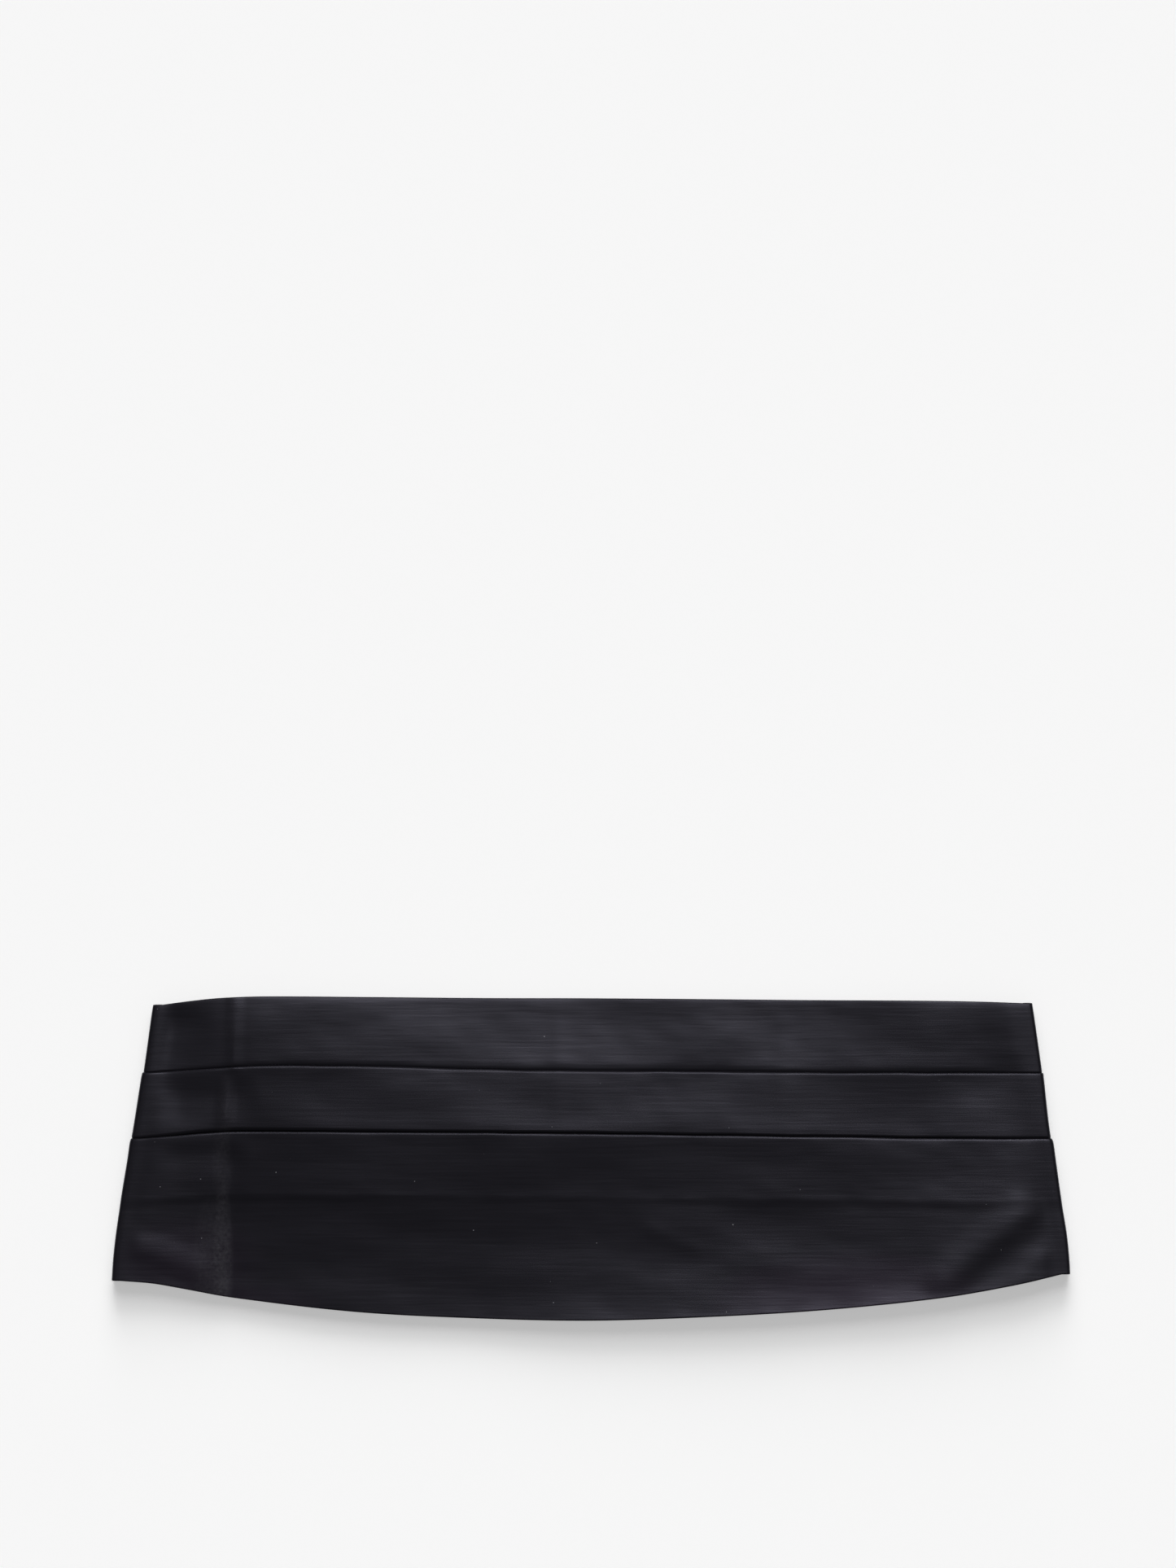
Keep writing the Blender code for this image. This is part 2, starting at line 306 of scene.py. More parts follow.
def makeSpotGroup():
    # one soft spot on the face: 1 in its middle and 0 from its edge on
    inputs = {"MiddleX": 0.0, "MiddleY": 0.0, "HalfLength": 0.03, "HalfHeight": 0.01}
    group, entry, leave = newGroup("softSpot", inputs, "Spot")
    x, y = splitPlace(group)[:2]
    along = addMath(group, "SUBTRACT", x, entry.outputs["MiddleX"])
    along = addMath(group, "DIVIDE", along, entry.outputs["HalfLength"])
    across = addMath(group, "SUBTRACT", y, entry.outputs["MiddleY"])
    across = addMath(group, "DIVIDE", across, entry.outputs["HalfHeight"])
    squares = [addMath(group, "MULTIPLY", part, part) for part in (along, across)]
    away = addMath(group, "ADD", *squares)
    inside = addMath(group, "MAXIMUM", addMath(group, "SUBTRACT", 1.0, away), 0.0)
    group.links.new(inside, leave.inputs["Spot"])
    return group


def makeRibGroup():
    # ribs across an elastic webbing and the cords along it, as a height
    group, entry, leave = newGroup("elasticRibs", {"Rib": 0.0012, "Cord": 0.0008, "Weave": 0.35}, "Height")
    x, y = splitPlace(group)[:2]
    turn = 2 * math.pi
    across = addMath(group, "MULTIPLY", addMath(group, "DIVIDE", x, entry.outputs["Rib"]), turn)
    along = addMath(group, "MULTIPLY", addMath(group, "DIVIDE", y, entry.outputs["Cord"]), turn)
    waves = addMath(group, "MULTIPLY", addMath(group, "SINE", across), addMath(group, "SINE", along))
    ribs = addMath(group, "MULTIPLY_ADD", addMath(group, "SINE", across), 0.5, 0.5)
    height = addMath(group, "MULTIPLY_ADD", waves, entry.outputs["Weave"], ribs)
    group.links.new(height, leave.inputs["Height"])
    return group


streakGroup = makeStreakGroup()
cloudGroup = makeCloudGroup()
lintGroup = makeLintGroup()
spotGroup = makeSpotGroup()
ribGroup = makeRibGroup()


def placeGroup(tree, group, **values):
    node = tree.nodes.new("ShaderNodeGroup")
    node.node_tree = group
    for label, value in values.items():
        node.inputs[label].default_value = value
    return node.outputs[0]


def newMaterial(name, finish):
    material = bpy.data.materials.new(name)
    material.use_nodes = True
    shader = material.node_tree.nodes["Principled BSDF"]
    shader.inputs["Roughness"].default_value = finish["roughness"]
    shader.inputs["Specular IOR Level"].default_value = finish["specular"]
    return material, material.node_tree, shader


def mixColour(tree, factor, first, second):
    node = tree.nodes.new("ShaderNodeMix")
    node.data_type = "RGBA"
    for label, value in (("Factor", factor), ("A", first), ("B", second)):
        socket = [s for s in node.inputs if s.name == label and s.enabled][0]
        if isinstance(value, (float, tuple)):
            socket.default_value = value
        else:
            tree.links.new(value, socket)
    return [s for s in node.outputs if s.enabled][0]


def setColour(tree, shader, factor, finish):
    colour = mixColour(tree, factor, finish["dark"], finish["light"])
    tree.links.new(colour, shader.inputs["Base Color"])


def addBump(tree, shader, height, distance):
    bump = tree.nodes.new("ShaderNodeBump")
    bump.inputs["Strength"].default_value = 1.0
    bump.inputs["Distance"].default_value = distance
    tree.links.new(height, bump.inputs["Height"])
    tree.links.new(bump.outputs["Normal"], shader.inputs["Normal"])


# materials; the sizes in their dictionaries are in metres

satinFinish = {
    "dark": (0.0062, 0.0058, 0.0078, 1),
    "light": (0.0105, 0.0098, 0.0134, 1),
    "violet": (0.016, 0.0082, 0.0182, 1),
    "violetSpots": [  # middle, half sizes and strength: a violet cast low on the panel
        (0.106, -0.056, 0.060, 0.021, 0.62),
        (-0.160, -0.042, 0.034, 0.020, 0.36),
        (-0.128, -0.058, 0.026, 0.009, 0.35),
    ],
    "violetContrast": 1.2,  # how much the clouds vary it, and where they start from
    "violetLevel": 0.4,
    # a lighter colour painted along the packing crease as a highlight
    "creaseHighlight": (0.04, 0.038, 0.044, 1),
    "creaseHighlightSpots": [  # painted highlight along the packing crease
        (-0.1461, -0.040, 0.0042, 0.036, 0.42),
        (-0.1500, -0.042, 0.0090, 0.030, 0.26),
        (-0.1464, -0.003, 0.0045, 0.018, 0.18),
        (-0.1450, 0.018, 0.0036, 0.018, 0.14),
    ],
    "creaseHighlightContrast": 4.0,
    "creaseHighlightLevel": -1.0,
    "lint": (0.26, 0.26, 0.28, 1),
    "lintSpacing": 0.026,
    "lintSize": 0.00018,
    "lintShare": 0.45,
    "roughness": 0.3,  # in the mean
    "roughnessSpan": 0.05,
    "specular": 0.3,
    "tint": (0.84, 0.82, 1.0, 1),
    "streakLength": 0.03,
    "streakHeight": 0.0014,
    "streakTone": 0.8,  # share of the light colour that the streaks bring in
    "cloudTone": 0.4,
    "leastTone": -0.1,  # where both are 0
    "cloudSize": 0.045,
    "grainSize": 0.0015,
    "bump": 0.00003,
}


def addSpots(tree, spots):
    total = 0.0
    for x, y, halfLength, halfHeight, share in spots:
        spot = placeGroup(
            tree, spotGroup, MiddleX=x, MiddleY=y, HalfLength=halfLength, HalfHeight=halfHeight
        )
        total = addMath(tree, "MULTIPLY_ADD", spot, share, total)
    return total


def makeSatin():
    finish = satinFinish
    material, tree, shader = newMaterial("blackSatin", finish)
    shader.inputs["Specular Tint"].default_value = finish["tint"]
    streaks = placeGroup(tree, streakGroup, Length=finish["streakLength"], Height=finish["streakHeight"])
    clouds = placeGroup(tree, cloudGroup, Size=finish["cloudSize"])
    grain = placeGroup(tree, cloudGroup, Size=finish["grainSize"])
    specks = placeGroup(
        tree, lintGroup, Spacing=finish["lintSpacing"], Size=finish["lintSize"], Share=finish["lintShare"]
    )
    tone = addMath(tree, "MULTIPLY_ADD", streaks, finish["streakTone"], finish["leastTone"])
    tone = addMath(tree, "MULTIPLY_ADD", clouds, finish["cloudTone"], tone)
    colour = mixColour(tree, tone, finish["dark"], finish["light"])
    # the violet cast, then the painted highlight along the packing crease
    for name, texture in (("violet", clouds), ("creaseHighlight", grain)):
        contrast, level = finish[name + "Contrast"], finish[name + "Level"]
        uneven = addMath(tree, "MULTIPLY_ADD", texture, contrast, level)
        uneven = addMath(tree, "MAXIMUM", uneven, 0.0)
        share = addMath(tree, "MULTIPLY", addSpots(tree, finish[name + "Spots"]), uneven)
        colour = mixColour(tree, share, colour, finish[name])
    colour = mixColour(tree, specks, colour, finish["lint"])
    tree.links.new(colour, shader.inputs["Base Color"])
    span = finish["roughnessSpan"]
    gloss = addMath(tree, "MULTIPLY_ADD", streaks, span, finish["roughness"] - span / 2)
    tree.links.new(gloss, shader.inputs["Roughness"])
    addBump(tree, shader, streaks, finish["bump"])
    return material


# the satin's wrong side is matt
reverseFinish = {
    "dark": (0.007, 0.007, 0.008, 1),
    "light": (0.016, 0.016, 0.018, 1),
    "roughness": 0.75,
    "specular": 0.2,
    "streakLength": 0.006,
    "streakHeight": 0.0005,
    "bump": 0.00004,
}


def makeReverse():
    finish = reverseFinish
    material, tree, shader = newMaterial("satinReverse", finish)
    streaks = placeGroup(tree, streakGroup, Length=finish["streakLength"], Height=finish["streakHeight"])
    setColour(tree, shader, streaks, finish)
    addBump(tree, shader, streaks, finish["bump"])
    return material


webbingFinish = {
    "dark": (0.006, 0.006, 0.007, 1),
    "light": (0.022, 0.022, 0.024, 1),
    "roughness": 0.8,
    "specular": 0.25,
    "rib": 0.0012,
    "cord": 0.0009,
    "ribTone": 0.5,
    "cloudTone": 0.5,
    "cloudSize": 0.006,
    "bump": 0.00012,
}


def makeWebbing():
    finish = webbingFinish
    material, tree, shader = newMaterial("elasticWebbing", finish)
    ribs = placeGroup(tree, ribGroup, Rib=finish["rib"], Cord=finish["cord"])
    clouds = placeGroup(tree, cloudGroup, Size=finish["cloudSize"])
    tone = addMath(tree, "MULTIPLY", ribs, finish["ribTone"])
    tone = addMath(tree, "MULTIPLY_ADD", clouds, finish["cloudTone"], tone)
    setColour(tree, shader, tone, finish)
    addBump(tree, shader, ribs, finish["bump"])
    return material


threadFinish = {
    "dark": (0.008, 0.008, 0.009, 1),
    "light": (0.03, 0.03, 0.033, 1),
    "roughness": 0.6,
    "specular": 0.3,
    "cloudSize": 0.0008,
}


def makeThread():
    finish = threadFinish
    material, tree, shader = newMaterial("blackThread", finish)
    setColour(tree, shader, placeGroup(tree, cloudGroup, Size=finish["cloudSize"]), finish)
    return material


# black enamel over steel, a little scuffed
enamelFinish = {
    "dark": (0.012, 0.012, 0.013, 1),
    "light": (0.03, 0.03, 0.031, 1),
    "roughness": 0.32,  # in the mean
    "leastRoughness": 0.2,
    "scuffRoughness": 0.25,
    "scuffLength": 0.003,
    "scuffHeight": 0.0002,
    "specular": 0.5,
    "cloudSize": 0.004,
    "bump": 0.00003,
}


def makeEnamel():
    finish = enamelFinish
    material, tree, shader = newMaterial("blackEnamel", finish)
    clouds = placeGroup(tree, cloudGroup, Size=finish["cloudSize"])
    scuffs = placeGroup(tree, streakGroup, Length=finish["scuffLength"], Height=finish["scuffHeight"])
    setColour(tree, shader, clouds, finish)
    rough = addMath(tree, "MULTIPLY_ADD", scuffs, finish["scuffRoughness"], finish["leastRoughness"])
    tree.links.new(rough, shader.inputs["Roughness"])
    addBump(tree, shader, clouds, finish["bump"])
    return material


satin = makeSatin()
satinReverse = makeReverse()
webbing = makeWebbing()
thread = makeThread()
enamel = makeEnamel()
print("materials made")


# satin: the pleated front with its side folds and its wings behind

layers = {
    "thickness": 0.35,
    "stack": 3.6,  # height that the solid gives to a pleat of three layers
    "coreGap": 0.15,  # radius of a side fold's empty core
    "pitch": 0.58,  # from layer to layer at a fold
    "sidePitch": 0.41,  # the same at the side folds
    "pressedPitch": 0.4,  # where the second underlay ends
    "sink": 0.55,  # a strip goes down by this much where it passes under a fold
    "sideSink": 0.25,
    "fallPower": 2.2,  # the more, the later it goes down
    "dip": 0.18,  # part of it before the first fold, and the rest under the fold's lip
    "lip": 0.45,  # how far the lip's line lies above the first fold
    "underlayShort": 2.4,  # the first underlay ends this far above the second fold
    "underlayDepth": 25.0,  # and the second this far below it
    "tipReach": 0.2,  # half an ellipse at a fold's tip
    "tipDrop": 0.09,  # the face rolls off towards a fold
    "sideTipDrop": 0.05,
    "tipRoll": 0.25,  # and does so over about this length
    "turnedEdge": 8.0,  # cloth turned in at the top edge and the hem
    "turnedPitch": 0.39,
    "edgeReach": 0.2,  # half an ellipse at such an edge
    "topDrop": 0.11,  # the face rolls off towards the top edge
    "hemDrop": -0.03,  # and curls up a little at the hem
    "edgeRoll": 1.6,
    "sideLift": 0.35,  # the top strip rises by this much towards the side folds
    "sideSpan": 0.2,  # share of the half width over which the side folds' values come in
    "squareness": 0.3,  # 1 is a round side fold, less is a pressed one
    "liftEase": 0.04,  # share of the half width over which the front's lift fades at a side fold
}

wing = {
    "end": 60.0,  # from the middle of the cummerbund
    "middle": 14.0,  # of its end, over the outline's middle
    "height": 50.0,  # of its end
    "topFall": 32.0,  # slopes of its two edges at the side fold, per length of the wing
    "hemFall": 7.0,
    "settle": 0.12,  # share of its length over which its strips come down to the surface
    "ripple": 0.5,
    "rippleLength": 30.0,
    "rippleHeight": 9.0,
    "rippleSeed": 5.1,
}

# heights of the front's lines over the outline's middle, at shares of its half width
frontLines = [
    dict(share=-1.00, top=60.9, foldOne=34.05, foldTwo=7.85, hem=-48.4),
    dict(share=-0.93, top=62.5, foldOne=34.85, foldTwo=8.85, hem=-49.5),
    dict(share=-0.86, top=63.7, foldOne=35.75, foldTwo=9.95, hem=-51.8),
    dict(share=-0.76, top=64.3, foldOne=36.75, foldTwo=10.65, hem=-55.2),
    dict(share=-0.50, top=64.0, foldOne=36.55, foldTwo=10.45, hem=-60.8),
    dict(share=-0.25, top=63.6, foldOne=35.35, foldTwo=10.15, hem=-63.3),
    dict(share=0.00, top=63.5, foldOne=34.65, foldTwo=9.75, hem=-64.2),
    dict(share=0.25, top=63.2, foldOne=34.50, foldTwo=9.15, hem=-62.7),
    dict(share=0.50, top=62.8, foldOne=34.10, foldTwo=8.55, hem=-59.9),
    dict(share=0.75, top=62.6, foldOne=33.95, foldTwo=7.95, hem=-55.0),
    dict(share=0.90, top=62.2, foldOne=33.95, foldTwo=7.75, hem=-50.1),
    dict(share=1.00, top=61.6, foldOne=33.85, foldTwo=7.85, hem=-45.8),
]

# half widths of the outline
outline = [
    dict(height=-48.0, left=190.6, right=191.1),
    dict(height=-40.0, left=190.1, right=190.7),
    dict(height=-30.0, left=189.0, right=189.7),
    dict(height=-16.0, left=186.9, right=187.4),
    dict(height=0.0, left=184.1, right=185.0),
    dict(height=6.5, left=183.1, right=184.0),
    dict(height=9.5, left=182.2, right=182.8),
    dict(height=32.0, left=178.6, right=180.2),
    dict(height=35.0, left=178.0, right=179.9),
    dict(height=61.0, left=174.4, right=176.2),
]

# how far above each fold its strip starts to go down, and the drop at the underlay's end
falls = [
    dict(share=-1.00, one=2.0, two=1.4, crease=0.10),
    dict(share=-0.90, one=3.0, two=2.0, crease=0.20),
    dict(share=-0.80, one=3.4, two=2.2, crease=0.20),
    dict(share=-0.70, one=3.4, two=2.2, crease=0.15),
    dict(share=-0.58, one=3.2, two=2.0, crease=0.10),
    dict(share=-0.44, one=3.2, two=1.8, crease=0.08),
    dict(share=-0.30, one=3.4, two=1.7, crease=0.06),
    dict(share=0.00, one=3.8, two=1.6, crease=0.05),
    dict(share=0.28, one=3.6, two=1.5, crease=0.05),
    dict(share=0.42, one=3.4, two=1.4, crease=0.07),
    dict(share=0.80, one=3.0, two=1.4, crease=0.10),
    dict(share=1.00, one=2.0, two=1.4, crease=0.08),
]

# lift of the front at its lines
sway = [
    dict(share=-1.00, top=0.00, one=0.00, two=0.00, crease=0.00, hem=0.00),
    dict(share=-0.93, top=0.50, one=0.50, two=0.50, crease=0.40, hem=-0.25),
    dict(share=-0.86, top=1.00, one=1.10, two=0.70, crease=0.40, hem=-0.50),
    dict(share=-0.76, top=1.15, one=1.40, two=0.60, crease=0.20, hem=-1.30),
    dict(share=-0.50, top=0.25, one=0.80, two=0.95, crease=0.85, hem=-0.85),
    dict(share=-0.25, top=-0.60, one=0.50, two=0.95, crease=0.60, hem=-0.75),
    dict(share=0.00, top=-0.85, one=0.20, two=0.85, crease=0.70, hem=0.55),
    dict(share=0.25, top=-0.15, one=0.30, two=0.75, crease=1.00, hem=1.30),
    dict(share=0.50, top=-0.40, one=0.40, two=0.80, crease=1.05, hem=1.40),
    dict(share=0.75, top=0.95, one=0.65, two=0.50, crease=1.30, hem=1.85),
    dict(share=0.90, top=0.45, one=-0.10, two=0.25, crease=1.15, hem=1.30),
    dict(share=1.00, top=0.00, one=0.00, two=0.00, crease=0.00, hem=0.00),
]

# how far the first, second and fourth strip bow between the lines; the third stays straight
bows = [
    dict(share=-1.00, one=0.00, two=0.00, four=0.00),
    dict(share=-0.93, one=0.00, two=0.00, four=0.00),
    dict(share=-0.86, one=0.00, two=0.00, four=-0.15),
    dict(share=-0.76, one=0.05, two=-0.20, four=-0.35),
    dict(share=-0.50, one=0.00, two=-0.07, four=-0.37),
    dict(share=-0.25, one=-0.11, two=-0.04, four=-0.47),
    dict(share=0.00, one=-0.13, two=-0.04, four=-0.55),
    dict(share=0.25, one=-0.09, two=-0.04, four=-0.50),
    dict(share=0.50, one=-0.17, two=-0.07, four=-0.59),
    dict(share=0.75, one=-0.03, two=-0.15, four=-0.30),
    dict(share=0.90, one=0.00, two=-0.20, four=0.00),
    dict(share=1.00, one=0.00, two=0.00, four=0.00),
]

# soft ridges and troughs, each along a line; widths to its left and right, seen from its start;
# crisp is 1 for a sharp ridge, and fade is the length over which it comes in and goes out
softFolds = [
    dict(x1=-167.0, y1=66.0, x2=-168.0, y2=30.0, lift=-0.60, left=24.0, right=12.0, crisp=0.0, fade=16.0),
    dict(x1=-167.0, y1=44.0, x2=-168.0, y2=6.0, lift=-0.36, left=24.0, right=12.0, crisp=0.0, fade=14.0),
    dict(x1=-141.5, y1=70.0, x2=-141.8, y2=33.0, lift=0.22, left=5.0, right=4.0, crisp=0.4, fade=5.0),
    dict(x1=-144.2, y1=34.0, x2=-145.8, y2=9.0, lift=0.32, left=5.0, right=4.0, crisp=0.3, fade=8.0),
    dict(x1=-150.5, y1=6.0, x2=-151.5, y2=-64.0, lift=0.26, left=9.0, right=15.0, crisp=0.0, fade=10.0),
    dict(x1=-143.6, y1=6.0, x2=-143.8, y2=-64.0, lift=-0.16, left=9.0, right=4.0, crisp=0.3, fade=8.0),
    dict(x1=-174.0, y1=25.5, x2=-130.0, y2=26.5, lift=-0.45, left=9.0, right=14.0, crisp=0.0, fade=12.0),
    dict(x1=-174.0, y1=0.5, x2=-134.0, y2=1.0, lift=-0.32, left=7.0, right=12.0, crisp=0.0, fade=12.0),
    dict(x1=-190.0, y1=-30.0, x2=-147.0, y2=-48.0, lift=0.22, left=9.0, right=8.0, crisp=0.0, fade=10.0),
    dict(x1=131.6, y1=-54.2, x2=179.0, y2=-14.8, lift=0.31, left=11.0, right=8.0, crisp=0.0, fade=12.0),
    dict(x1=142.5, y1=-60.0, x2=188.0, y2=-21.0, lift=-0.32, left=8.0, right=10.0, crisp=0.0, fade=12.0),
    dict(x1=170.0, y1=-34.0, x2=194.0, y2=-34.0, lift=-0.16, left=8.0, right=18.0, crisp=0.0, fade=8.0),
    dict(x1=171.0, y1=76.0, x2=172.0, y2=34.0, lift=0.24, left=6.0, right=20.0, crisp=0.0, fade=12.0),
    dict(x1=17.9, y1=-25.7, x2=48.3, y2=-38.3, lift=0.10, left=5.0, right=4.0, crisp=0.2, fade=8.0),
    dict(x1=-13.4, y1=64.0, x2=-13.4, y2=10.0, lift=0.05, left=7.0, right=5.0, crisp=0.5, fade=10.0),
    dict(x1=75.8, y1=64.0, x2=76.2, y2=10.0, lift=0.06, left=9.0, right=6.0, crisp=0.5, fade=10.0),
]

# the wings' own, on the side that rests: all stand up from the surface
wingFolds = [
    dict(x1=-172.0, y1=30.0, x2=-96.0, y2=16.0, lift=0.8, left=7.0, right=9.0, crisp=0.2, fade=22.0),
    dict(x1=-160.0, y1=-20.0, x2=-112.0, y2=2.0, lift=0.6, left=8.0, right=6.0, crisp=0.0, fade=16.0),
    dict(x1=-118.0, y1=40.0, x2=-82.0, y2=22.0, lift=0.5, left=6.0, right=6.0, crisp=0.3, fade=12.0),
    dict(x1=94.0, y1=20.0, x2=166.0, y2=38.0, lift=0.7, left=8.0, right=6.0, crisp=0.1, fade=20.0),
    dict(x1=104.0, y1=4.0, x2=172.0, y2=-26.0, lift=0.8, left=7.0, right=9.0, crisp=0.2, fade=24.0),
    dict(x1=80.0, y1=6.0, x2=110.0, y2=10.0, lift=0.45, left=5.0, right=6.0, crisp=0.0, fade=10.0),
]

# slight unevenness of the face: its size, and the length, height and seed of its noise
mottle = [
    dict(size=0.25, length=34.0, height=16.0, seed=3.3),
    dict(size=0.045, length=10.0, height=4.5, seed=7.7),
]

# how far the two folds stray from their lines
foldWander = {
    "size": 0.16,
    "length": 14.0,
    "halfWidth": 180.0,  # of the front, nearly
    "seedOne": 1.0,
    "seedTwo": 2.0,
    "offGrid": 0.5,  # the noise is 0 on its grid points
}

# rows of points along the loop
rows = {
    "step": 1.9,
    "fineStep": 0.8,
    "fineFrom": -150.0,
    "fineTo": -134.0,
    "side": 14,  # round each side fold
    "wing": 12,  # along each wing
}

# distances of a section's points from the fold or the edge beside them
places = {
    "tip": (0.12, 0.3, 0.55, 0.9, 1.6, 2.8),
    "afterTip": 4.2,  # a fold's evenly spread points start here
    "edgeBack": (5.5, 3.4, 2.0, 1.1, 0.5),
    "edgeFace": (0.5, 0.9, 1.4, 2.0, 2.9, 4.2),
    "afterTop": 6.0,  # the same at the top edge and the hem
    "beforeHem": 5.5,
    "pastOne": 1.2,  # the strip under the first fold has come down this far past it
    "pastTwo": 0.3,
    "beforeStep": 1.5,  # the face starts to step down this far before the second underlay's end
    "step": 5.0,  # and has done so after this much
}


def arc(centre, level, reach, rise, steps):
    # half an ellipse, from the lower level to the upper one; reach is negative where it bulges upwards
    points = []
    for k in range(steps + 1):
        angle = math.pi * k / steps
        points.append((centre + reach * math.sin(angle), level + rise / 2 * (1 - math.cos(angle))))
    return points


def rollOff(distance, drop, reach):
    return -drop * math.exp(-max(distance, 0.0) / reach)


def goDown(start, end, level, nextLevel, steps):
    points = []
    for k in range(steps):
        t = k / steps
        points.append((mix(start, end, t), mix(level, nextLevel, t ** layers["fallPower"])))
    return points


def foldTip(fold, low, high, drop, slope):
    # round the tip of a fold and on to the face, whose level and slope near the tip are given
    reach = layers["tipReach"]
    start = high + rollOff(0, drop, layers["tipRoll"])
    points = arc(fold + reach, low, -reach, start - low, 8)
    for past in places["tip"]:
        level = high - slope * (reach + past)
        points.append((fold + reach + past, level + rollOff(past, drop, layers["tipRoll"])))
    return points


def turnedEdge(level, drop):
    # cloth turned in behind an edge, then round it and a little way down the face
    points = []
    for v in (layers["turnedEdge"], *places["edgeBack"]):
        points.append((v, level + rollOff(v, drop, layers["edgeRoll"]) - layers["turnedPitch"]))
    reach = layers["edgeReach"]
    low = level + rollOff(reach, drop, layers["edgeRoll"]) - layers["turnedPitch"]
    points += arc(reach, low, -reach, layers["turnedPitch"], 5)
    for v in places["edgeFace"]:
        points.append((v, level + rollOff(v, drop, layers["edgeRoll"])))
    return points


def clothSection(form):
    # the cloth's middle line from top edge to hem: distances below the top edge, and levels over
    # the front's inner face
    outer = layers["stack"] - layers["thickness"] / 2
    middle = outer - form["pitch"]
    bottom = middle - form["pitch"] - form["sink"]
    top = middle - form["pitch"] + form["topLift"]
    foldOne, foldTwo, length = form["foldOne"], form["foldTwo"], form["length"]
    turnOne = foldTwo - layers["underlayShort"] * form["scale"]
    turnTwo = foldTwo + layers["underlayDepth"] * form["scale"]
    reach = layers["tipReach"]

    points = turnedEdge(top, layers["topDrop"])
    start, lip = foldOne - form["fallOne"], foldOne - layers["lip"]
    under = foldOne + places["pastOne"]
    points += [(v, top) for v in spread(places["afterTop"], start, 10)]
    points += goDown(start, lip, top, top - form["dip"], 6)
    points += goDown(under, lip, bottom, top - form["dip"], 6)[:0:-1]
    radius = (middle - bottom) / 2
    points += [(v, bottom) for v in spread(under, turnOne - radius, 3)]
    points += arc(turnOne - radius, bottom, radius, middle - bottom, 6)
    points += [(v, middle) for v in spread(turnOne - radius, foldOne + reach, 3)[1:]]
    points += foldTip(foldOne, middle, outer, form["tipDrop"], 0.0)
    start = foldTwo - form["fallTwo"]
    points += [(v, outer) for v in spread(foldOne + reach + places["afterTip"], start, 7)]

    under = foldTwo + places["pastTwo"]
    points += goDown(start, under, outer, bottom, 10)
    radius = layers["pressedPitch"] / 2
    returned = bottom + layers["pressedPitch"]
    points += [(v, bottom) for v in spread(under, turnTwo - radius, 3)]
    points += arc(turnTwo - radius, bottom, radius, layers["pressedPitch"], 6)
    back = spread(turnTwo - radius, foldTwo + reach, 4)
    points += [(v, mix(middle, returned, (v - foldTwo) / (turnTwo - foldTwo))) for v in back[1:]]
    pressed = returned + layers["pressedPitch"]
    slope = (outer - pressed) / (turnTwo - foldTwo)
    points += foldTip(foldTwo, middle, outer, form["tipDrop"], slope)
    start, end = foldTwo + reach + places["afterTip"], turnTwo - places["beforeStep"]
    for v in spread(start, end, 9):
        points.append((v, outer - slope * (v - foldTwo)))
    panel = pressed - form["crease"] + form["panelLift"]
    for t in spread(0, 1, 6):
        level = mix(outer - slope * (end - foldTwo), panel, smooth(t))
        points.append((end + places["step"] * t, level))
    points += [(v, panel) for v in spread(end + places["step"], length - places["beforeHem"], 16)]
    points += [(length - v, level) for v, level in reversed(turnedEdge(panel, layers["hemDrop"]))]
    return points


def halfWidth(height, side):
    # to the line where a side fold starts to turn
    radius = layers["coreGap"] + layers["stack"]
    return readTable(outline, "height", "right" if side > 0 else "left", height) - radius


def wander(share, seed):
    x = share * foldWander["halfWidth"]
    place = Vector((x / foldWander["length"], seed, foldWander["offGrid"]))
    return foldWander["size"] * noise.noise(place)


def readRow(table, share, *columns):
    return [readTable(table, "share", column, share) for column in columns]


def formAt(share):
    # everything that the section of the front depends on, at a share of its half width
    near = smooth((abs(share) - 1 + layers["sideSpan"]) / layers["sideSpan"])
    top, foldOne, foldTwo, hem = readRow(frontLines, share, "top", "foldOne", "foldTwo", "hem")
    foldOne += wander(share, foldWander["seedOne"]) * (1 - near)
    foldTwo += wander(share, foldWander["seedTwo"]) * (1 - near)
    fallOne, fallTwo, crease = readRow(falls, share, "one", "two", "crease")
    bowOne, bowTwo, bowFour = readRow(bows, share, "one", "two", "four")
    return {
        "top": top,
        "scale": 1.0,
        "length": top - hem,
        "foldOne": top - foldOne,
        "foldTwo": top - foldTwo,
        "pitch": mix(layers["pitch"], layers["sidePitch"], near),
        "sink": mix(layers["sink"], layers["sideSink"], near),
        "tipDrop": mix(layers["tipDrop"], layers["sideTipDrop"], near),
        "topLift": near * layers["sideLift"],
        "panelLift": 0.0,
        "fallOne": fallOne,
        "fallTwo": fallTwo,
        "crease": crease,
        "dip": mix(layers["dip"], 0.0, near),
        "lines": [top, foldOne, foldTwo, foldTwo - layers["underlayDepth"], hem],
        "lifts": readRow(sway, share, "top", "one", "two", "crease", "hem"),
        "bows": [bowOne, bowTwo, 0.0, bowFour],
    }


def swayLift(form, y):
    lines, lifts = form["lines"], form["lifts"]
    i = 0
    while i < 3 and y < lines[i + 1]:
        i += 1
    t = (lines[i] - y) / (lines[i] - lines[i + 1])
    return mix(lifts[i], lifts[i + 1], t) + form["bows"][i] * 4 * t * (1 - t)


